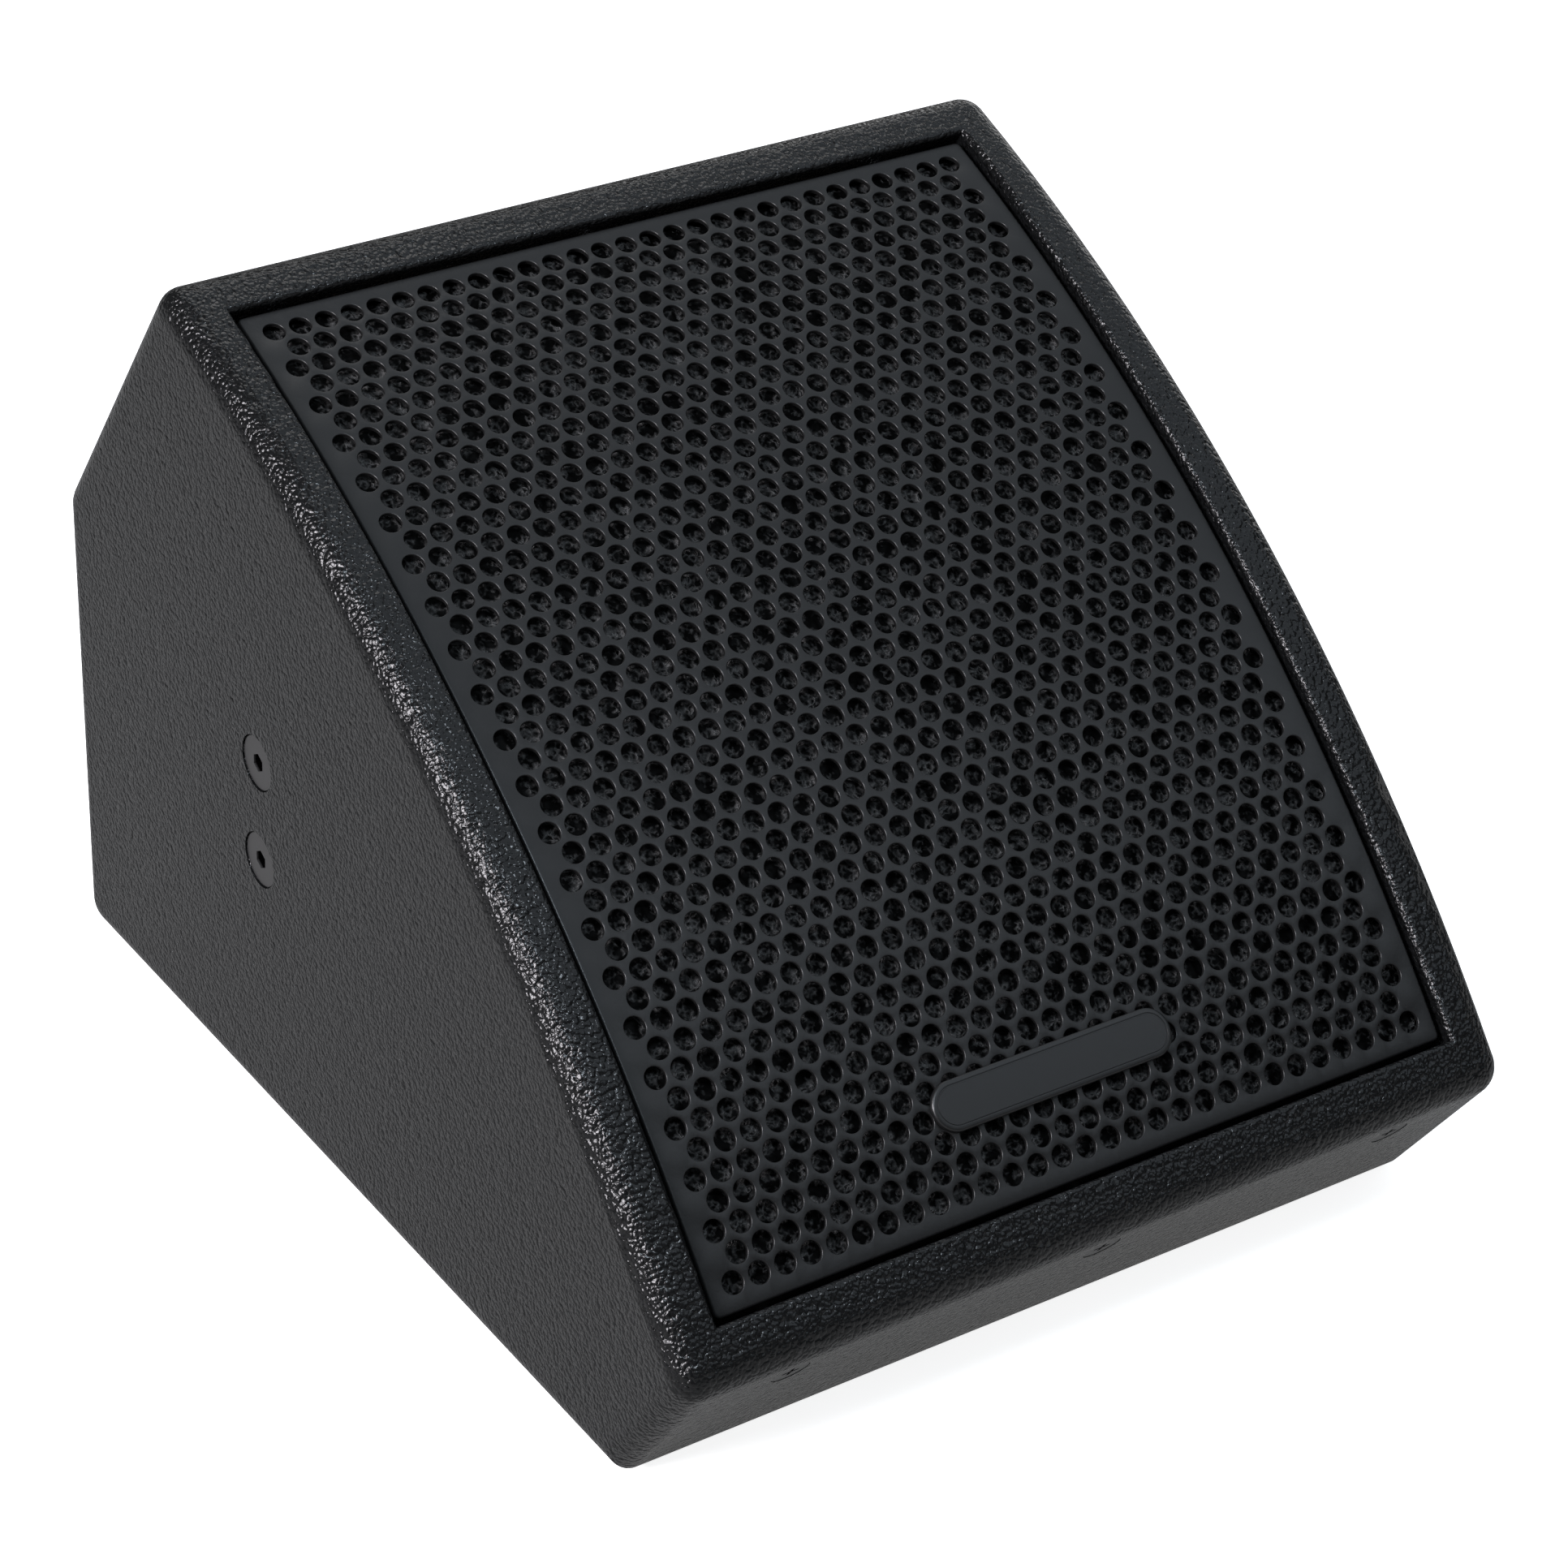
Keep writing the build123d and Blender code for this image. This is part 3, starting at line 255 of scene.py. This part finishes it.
FINISHES = {
    "cabinet_coat": coat(),
    "inner_wood": plywood("stained_plywood", (0.09, 0.07, 0.05, 1)),
    "grille_steel": satin_coat("grille_powder_coat", 0.006, 0.38, shine=0.33),
    "foam": foam_cells(),
    "badge": satin_coat("badge_finish", 0.006, 0.36, 2200, 0.00001, 0.42),
    "black_screw": satin_coat("black_oxide", 0.022, 0.40, 3000, 0.00001),
    "bright_steel": metal("zinc_plate", (0.62, 0.62, 0.63, 1), 0.3, brush=6),
    "rubber": moulded("rubber", 0.014, 0.62),
    "black_plastic": moulded("black_moulding", 0.014, 0.42),
    "basket": satin_coat("basket_coat", 0.02, 0.4),
    "cone": cloth("pressed_cone", (0.03, 0.03, 0.032, 1), 0.6, 1500),
    "cloth": cloth("resin_cloth", (0.35, 0.2, 0.08, 1), 0.7, 2200),
    "former": clouded("amber_film", (0.5, 0.26, 0.06, 1), 0.3),
    "copper": metal("enamelled_copper", (0.65, 0.29, 0.14, 1), 0.28, brush=40),
    "pole_steel": metal("plated_steel", (0.42, 0.42, 0.43, 1), 0.35, brush=4),
    "ferrite": moulded("ferrite", 0.05, 0.55),
    "alloy": metal("spun_alloy", (0.7, 0.7, 0.72, 1), 0.3),
    "board": clouded("laminate_board", (0.02, 0.11, 0.04, 1), 0.35),
    "capacitor": clouded("film_wrap", (0.55, 0.4, 0.05, 1), 0.25),
    "ceramic": clouded("cement_ceramic", (0.7, 0.69, 0.64, 1), 0.7),
    "wadding": cloth("felt", (0.28, 0.28, 0.3, 1)),
    "cable": moulded("cable_sheath", 0.02, 0.5),
}
for entry in frame["record"]["subparts"]:
    node = NODES[entry["node"]]
    node.data.materials.clear()
    node.data.materials.append(FINISHES[entry["material_slot"]])
# The rigging screws get black oxide with painted shade in their drive sockets.
NODES["rigging_screws"].data.materials[0] = socket_screw_painted_shade("socket_screw_painted_shade", 0.022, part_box("rigging_screws")[1].x)


# ---- mesh pieces ----
def piece(name, verts, faces, slot, replaced, sharp):
    """One smooth object from points and faces, sharp past an angle, in place of a node of the cabinet."""
    mesh = bpy.data.meshes.new(name)
    mesh.from_pydata([tuple(v) for v in verts], [], faces)
    work = bmesh.new()
    work.from_mesh(mesh)
    bmesh.ops.recalc_face_normals(work, faces=work.faces)
    work.to_mesh(mesh)
    work.free()
    mesh.materials.append(FINISHES[slot])
    obj = bpy.data.objects.new(name, mesh)
    bpy.context.scene.collection.objects.link(obj)
    mesh.shade_smooth()
    mesh.set_sharp_from_angle(angle=math.radians(sharp))
    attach(obj, "cabinet")
    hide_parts(replaced)
    return obj


def ring_faces(upper, lower):
    """Faces between two closed rings of the same size."""
    size = len(upper)
    return [(upper[i], upper[(i + 1) % size], lower[(i + 1) % size], lower[i]) for i in range(size)]


def grid_faces(columns, rows):
    """Faces of a grid whose points run row by row, columns + 1 in each."""
    row = columns + 1
    starts = [j * row + i for j in range(rows) for i in range(columns)]
    return [(k, k + 1, k + row + 1, k + row) for k in starts]


def grid_border(columns, rows):
    """Indices of a grid's outer points, in order round it."""
    row = columns + 1
    near = list(range(row))
    right = [j * row + columns for j in range(1, rows + 1)]
    far = [rows * row + i for i in range(columns - 1, -1, -1)]
    left = [j * row for j in range(rows - 1, 0, -1)]
    return near + right + far + left


# All in millimetres, on the unrolled sheet.
PITCH = 8.0
ROW_STEP = PITCH * math.sqrt(3) / 2
ROWS = 43
LONG_ROW = 29
HALF_WIDTH = 120.0
HALF_ARC = 153.0
SHEET = 1.5
BEND = 0.8
RIM = 3.34
HOLE_SIDES = 24
# Radius and height of the rings down a punched hole: a rolled rim, the punch's size, then the breakout.
HOLE_PROFILE = ((3.27, -0.02), (3.19, -0.08), (3.12, -0.2), (3.1, -0.38), (3.18, -0.7), (3.4, -SHEET))
SHEET_CORNER = 1.0
END_SKIRT = 20.0
SIDE_SKIRT = 10.0 - BEND
BEND_STEPS = 5


def holes_in_row(v):
    """Rows are counted from the crown, and every second one has a hole more."""
    return LONG_ROW if v % 2 == 1 else LONG_ROW - 1


def hole_centres():
    centres = []
    for v in range(-(ROWS // 2), ROWS // 2 + 1):
        count = holes_in_row(v)
        centres += [((i - (count - 1) / 2) * PITCH, v * ROW_STEP) for i in range(count)]
    return centres


def in_hole(x, a):
    v = round(a / ROW_STEP)
    shift = 0 if v % 2 == 1 else PITCH / 2
    nearest = round((x - shift) / PITCH) * PITCH + shift
    inside = math.hypot(x - nearest, a - v * ROW_STEP) < RIM
    return inside and abs(v) <= ROWS // 2 and abs(nearest) < holes_in_row(v) / 2 * PITCH


def rounded_loop(half_x, half_a, corner):
    """Closed loop of (x, arc, outward x, outward arc) round a rectangle with round corners."""
    along_x, along_a, turn = 30, 76, 5
    corners = ((1, 1), (-1, 1), (-1, -1), (1, -1))
    points = []
    for k, (sx, sa) in enumerate(corners):
        for i in range(turn + 1):
            angle = math.pi / 2 * (k + i / turn)
            out_x, out_a = math.cos(angle), math.sin(angle)
            points.append((sx * (half_x - corner) + corner * out_x, sa * (half_a - corner) + corner * out_a,
                           out_x, out_a))
        next_x, next_a = corners[(k + 1) % 4]
        start_x, start_a, out_x, out_a = points[-1]
        end_x = next_x * (half_x - corner) + corner * out_x
        end_a = next_a * (half_a - corner) + corner * out_a
        steps = along_x if k % 2 == 0 else along_a
        for i in range(1, steps):
            t = i / steps
            points.append((start_x + (end_x - start_x) * t, start_a + (end_a - start_a) * t, out_x, out_a))
    return points


def grille():
    """Perforated curved sheet with dished hole rims and folded edges, one closed mesh."""
    centres = hole_centres()
    base_loop = rounded_loop(HALF_WIDTH - BEND, HALF_ARC - BEND, SHEET_CORNER)
    flat = [Vector(p[:2]) for p in base_loop]
    edges = [(i, (i + 1) % len(flat)) for i in range(len(flat))]
    sides = [(math.cos(2 * math.pi * i / HOLE_SIDES), math.sin(2 * math.pi * i / HOLE_SIDES))
             for i in range(HOLE_SIDES)]
    first_hole = len(flat)
    for cx, ca in centres:
        start = len(flat)
        flat += [Vector((cx + RIM * c, ca + RIM * s)) for c, s in sides]
        edges += [(start + i, start + (i + 1) % HOLE_SIDES) for i in range(HOLE_SIDES)]
    points, _, triangles, _, _, _ = delaunay_2d_cdt(flat, edges, [], 0, 1e-7)
    assert len(points) == len(flat)

    def centre(triangle):
        return sum((points[i] for i in triangle), Vector((0, 0))) / 3

    web = [t for t in triangles if not in_hole(*centre(t))]
    count = len(points)
    verts = [on_grille(p[0], p[1]) for p in points] + [on_grille(p[0], p[1], -SHEET) for p in points]
    faces = [tuple(t) for t in web] + [tuple(i + count for i in reversed(t)) for t in web]

    for h, (cx, ca) in enumerate(centres):
        ring = [first_hole + h * HOLE_SIDES + i for i in range(HOLE_SIDES)]
        last = [i + count for i in ring]
        for radius, out in HOLE_PROFILE:
            start = len(verts)
            verts += [on_grille(cx + radius * c, ca + radius * s, out) for c, s in sides]
            new = list(range(start, start + HOLE_SIDES))
            faces += ring_faces(new, ring)
            ring = new
        faces += ring_faces(last, ring)

    outline = list(range(len(base_loop)))
    ring = outline
    # Growth, height and share of the skirt's depth of the rings round the fold, down the skirt and back up.
    folds = []
    for i in range(1, BEND_STEPS + 1):
        angle = math.pi / 2 * i / BEND_STEPS
        folds.append((BEND * math.sin(angle), BEND * math.cos(angle) - BEND, 0.0))
    folds += [(BEND, -BEND, 1.0), (BEND - SHEET, -BEND, 1.0), (BEND - SHEET, -SHEET - 0.2, 0.0)]
    for grow, out, drop in folds:
        start = len(verts)
        for x, a, ox, oa in base_loop:
            depth = END_SKIRT if abs(oa) > abs(ox) else SIDE_SKIRT
            px, py, pz = arc_point(x + ox * grow, a + oa * grow, out)
            verts.append(slope(px, py, pz - drop * depth))
        new = list(range(start, start + len(base_loop)))
        faces += ring_faces(ring, new)
        ring = new
    faces += ring_faces(ring, [i + count for i in outline])
    piece("grille_sheet", verts, faces, "grille_steel", "grille", sharp=50)


FOAM_STEP = 0.95
FOAM_HALF_X = HALF_WIDTH - 2.0
FOAM_HALF_ARC = HALF_ARC - 2.2
FOAM_FRONT = -SHEET - 2.0
FOAM_BACK = -SHEET - 8.4
FOAM_RELIEF = 1.1
FOAM_EDGE = 0.5
FOAM_EDGE_DROP = 1.0


def foam():
    """Foam sheet behind the grille with an open, uneven face and a back ruled across from side to side."""
    nx = int(2 * FOAM_HALF_X / FOAM_STEP)
    na = int(2 * FOAM_HALF_ARC / FOAM_STEP)
    row = nx + 1
    flat = [(-FOAM_HALF_X + 2 * FOAM_HALF_X * i / nx, -FOAM_HALF_ARC + 2 * FOAM_HALF_ARC * j / na)
            for j in range(na + 1) for i in range(row)]
    verts = []
    for x, a in flat:
        lump = noise.noise(Vector((x, a, 0)) * 0.42) + 0.6 * noise.noise(Vector((x, a, 9)) * 1.1)
        to_edge = min(FOAM_HALF_X - abs(x), FOAM_HALF_ARC - abs(a))
        drop = FOAM_EDGE_DROP if to_edge < FOAM_EDGE else 0
        verts.append(on_grille(x, a, FOAM_FRONT + FOAM_RELIEF * max(-1, min(1, lump)) - drop))
    rim = grid_border(nx, na)
    back = {k: len(verts) + n for n, k in enumerate(rim)}
    verts += [on_grille(*flat[k], FOAM_BACK) for k in rim]
    faces = grid_faces(nx, na) + ring_faces(rim, [back[k] for k in rim])
    left = [back[j * row] for j in range(na + 1)]
    right = [back[j * row + nx] for j in range(na + 1)]
    near = [back[i] for i in range(row)]
    far = [back[na * row + i] for i in range(row)]
    faces.append((*near, right[1], left[1]))
    faces += [(left[j], right[j], right[j + 1], left[j + 1]) for j in range(1, na - 1)]
    faces.append((left[na - 1], right[na - 1], *reversed(far)))
    sheet = piece("foam_sheet", verts, faces, "foam", "grille_foam", sharp=60)


PAD_BACK = 153.0
PAD_THICK = 15.0
PAD_THIN = 2.5
PAD_LUMP = 1.6
PAD_FLUFF = 0.6
PAD_HALF_X = 100.0
PAD_LOW = -126.0
PAD_HIGH = -75.0


def damping_pad():
    """Felted wadding on the inside of the top panel, thinner and softer towards its edges."""
    nx, nz = 80, 22
    front = []
    back = []
    for j in range(nz + 1):
        for i in range(nx + 1):
            u = 2 * i / nx - 1
            w = 2 * j / nz - 1
            x = PAD_HALF_X * u
            z = PAD_LOW + (PAD_HIGH - PAD_LOW) * (w + 1) / 2
            full = max(0.0, 1 - abs(u) ** 10) ** 0.3 * max(0.0, 1 - abs(w) ** 5) ** 0.35
            lump = PAD_LUMP * noise.noise(Vector((x, z, 3)) * 0.06)
            lump += PAD_FLUFF * noise.noise(Vector((x, z, 5)) * 0.3)
            thick = max(PAD_THIN, (PAD_THICK - PAD_LUMP + lump) * full)
            front.append(slope(x, PAD_BACK - min(PAD_THICK, thick), z))
            back.append(slope(x, PAD_BACK, z))
    size = len(front)
    quads = grid_faces(nx, nz)
    rim = grid_border(nx, nz)
    faces = quads + [tuple(k + size for k in reversed(quad)) for quad in quads]
    faces += ring_faces(rim, [k + size for k in rim])
    pad = piece("felt_pad", front + back, faces, "wadding", "damping_pad", sharp=70)


BADGE_X = -2.0
BADGE_ARC = 123.3
BADGE_LENGTH = 78.0
BADGE_WIDTH = 14.0
BADGE_TOP = 1.7
# Inset from the plate's edge and height over the sheet: a rounded edge, a fine groove and the flat.
BADGE_PROFILE = ((0.35, 0.08), (0.0, 0.35), (0.0, 1.0), (0.12, 1.35), (0.38, 1.6), (0.75, BADGE_TOP),
                 (1.35, BADGE_TOP), (1.43, BADGE_TOP - 0.16), (1.62, BADGE_TOP - 0.2),
                 (1.78, BADGE_TOP - 0.16), (1.86, BADGE_TOP), (3.4, BADGE_TOP), (5.2, BADGE_TOP),
                 (6.6, BADGE_TOP))


def badge_outline(inset):
    """Closed loop round the plate, inset mm inside its edge."""
    turn_steps, run_steps = 28, 26
    radius = BADGE_WIDTH / 2 - inset
    reach = (BADGE_LENGTH - BADGE_WIDTH) / 2
    loop = []
    for k, side in enumerate((1, -1)):
        for i in range(turn_steps + 1):
            angle = -math.pi / 2 + math.pi * (k + i / turn_steps)
            loop.append((side * reach + radius * math.cos(angle), radius * math.sin(angle)))
        loop += [(side * reach * (1 - 2 * i / run_steps), side * radius) for i in range(1, run_steps)]
    return loop


def badge():
    """Plain oval plate with rounded edges and a fine groove inside its border."""
    verts = []
    rings = []
    for inset, out in BADGE_PROFILE:
        loop = badge_outline(inset)
        rings.append(range(len(verts), len(verts) + len(loop)))
        verts += [on_grille(BADGE_X + x, BADGE_ARC - y, out) for x, y in loop]
    faces = []
    for low, high in zip(rings, rings[1:]):
        faces += ring_faces(low, high)
    faces.append(tuple(rings[-1]))
    faces.append(tuple(reversed(rings[0])))
    piece("badge_blank", verts, faces, "badge", "badge_plate", sharp=40)


grille()
foam()
damping_pad()
badge()

# ---- floor, light and camera ----
WHITE = (1, 1, 1)
COOL = (0.80, 0.90, 1.0)
WARM = (1.0, 0.97, 1.02)


def floor():
    """Pale floor, near white as seen, and dimmer where the object mirrors it."""
    half = 16.0
    cuts = 32
    steps = [-half + 2 * half * i / cuts for i in range(cuts + 1)]
    mesh = bpy.data.meshes.new("floor")
    mesh.from_pydata([(x, y, 0) for y in steps for x in steps], [], grid_faces(cuts, cuts))
    m = Nodes("pale_floor")
    seen = m.put("ShaderNodeLightPath").outputs["Is Camera Ray"]
    pale = m.blend(m.noise(30, 2), grey(0.86), grey(0.88))
    m.finish(m.blend(seen, grey(0.12), pale), 0.9,
             Emission_Color=grey(1), Emission_Strength=m.span(seen, 0, 1, 0.30, 0.86))
    mesh.materials.append(m.material)
    obj = bpy.data.objects.new("floor", mesh)
    bpy.context.scene.collection.objects.link(obj)


def direction(azimuth, elevation):
    """Away from the object, in degrees: azimuth 0 is in front of it and 90 to its right."""
    a, e = math.radians(azimuth), math.radians(elevation)
    return Vector((math.sin(a) * math.cos(e), -math.cos(a) * math.cos(e), math.sin(e)))


def softbox(name, azimuth, elevation, distance, width, height, power, color=WHITE):
    """Area light that looks at the middle of the object, in metres and watts."""
    away = direction(azimuth, elevation)
    data = bpy.data.lights.new(name, "AREA")
    data.shape = "RECTANGLE"
    data.size = width
    data.size_y = height
    data.energy = power
    data.color = color
    obj = bpy.data.objects.new(name, data)
    obj.location = Vector((0, 0, 0.12)) + away * distance
    obj.rotation_mode = "QUATERNION"
    obj.rotation_quaternion = away.to_track_quat("Z", "Y")
    bpy.context.scene.collection.objects.link(obj)


def sky(strength, backdrop):
    """Dim surroundings for light and reflections, with a pale backdrop behind the floor."""
    world = bpy.data.worlds.new("studio")
    bpy.context.scene.world = world
    world.use_nodes = True
    tree = world.node_tree
    dim = tree.nodes["Background"]
    pale = tree.nodes.new("ShaderNodeBackground")
    for shader, power in ((dim, strength), (pale, backdrop)):
        shader.inputs["Color"].default_value = grey(1)
        shader.inputs["Strength"].default_value = power
    paths = tree.nodes.new("ShaderNodeLightPath")
    mix = tree.nodes.new("ShaderNodeMixShader")
    tree.links.new(paths.outputs["Is Camera Ray"], mix.inputs[0])
    tree.links.new(dim.outputs[0], mix.inputs[1])
    tree.links.new(pale.outputs[0], mix.inputs[2])
    tree.links.new(mix.outputs[0], tree.nodes["World Output"].inputs["Surface"])


def camera(azimuth, elevation, roll, distance, aim, lens):
    """The main view: from the left front, above, rolled a little."""
    away = direction(azimuth, elevation)
    data = bpy.data.cameras.new("view")
    data.sensor_width = 36
    data.lens = lens
    obj = bpy.data.objects.new("view", data)
    obj.location = Vector(aim) + away * distance
    obj.rotation_mode = "QUATERNION"
    turn = Matrix.Rotation(math.radians(roll), 3, "Z").to_quaternion()
    obj.rotation_quaternion = away.to_track_quat("Z", "Y") @ turn
    bpy.context.scene.collection.objects.link(obj)
    bpy.context.scene.camera = obj


floor()
sky(strength=0.05, backdrop=0.95)
# Azimuth, elevation, distance, width, height and power.
softbox("left_softbox", -80, 31, 1.5, 0.5, 0.65, 42, WARM)
softbox("top_softbox", 78, 59, 2.0, 2.9, 2.3, 17, COOL)
softbox("front_softbox", -24, 60, 1.6, 0.3, 0.3, 11, COOL)
softbox("back_softbox", 160, 42, 2.2, 1.4, 1.0, 9)
softbox("right_softbox", 125, 10, 2.4, 1.6, 0.9, 6.5)
softbox("low_softbox", 38, 38, 1.8, 0.9, 0.9, 1.6, COOL)
camera(azimuth=-34.993, elevation=32.107, roll=2.475, distance=1.27642,
       aim=(-0.00259, -0.01052, 0.10550), lens=103.65)
view_settings = bpy.context.scene.view_settings
view_settings.view_transform = "Standard"
view_settings.look = "None"
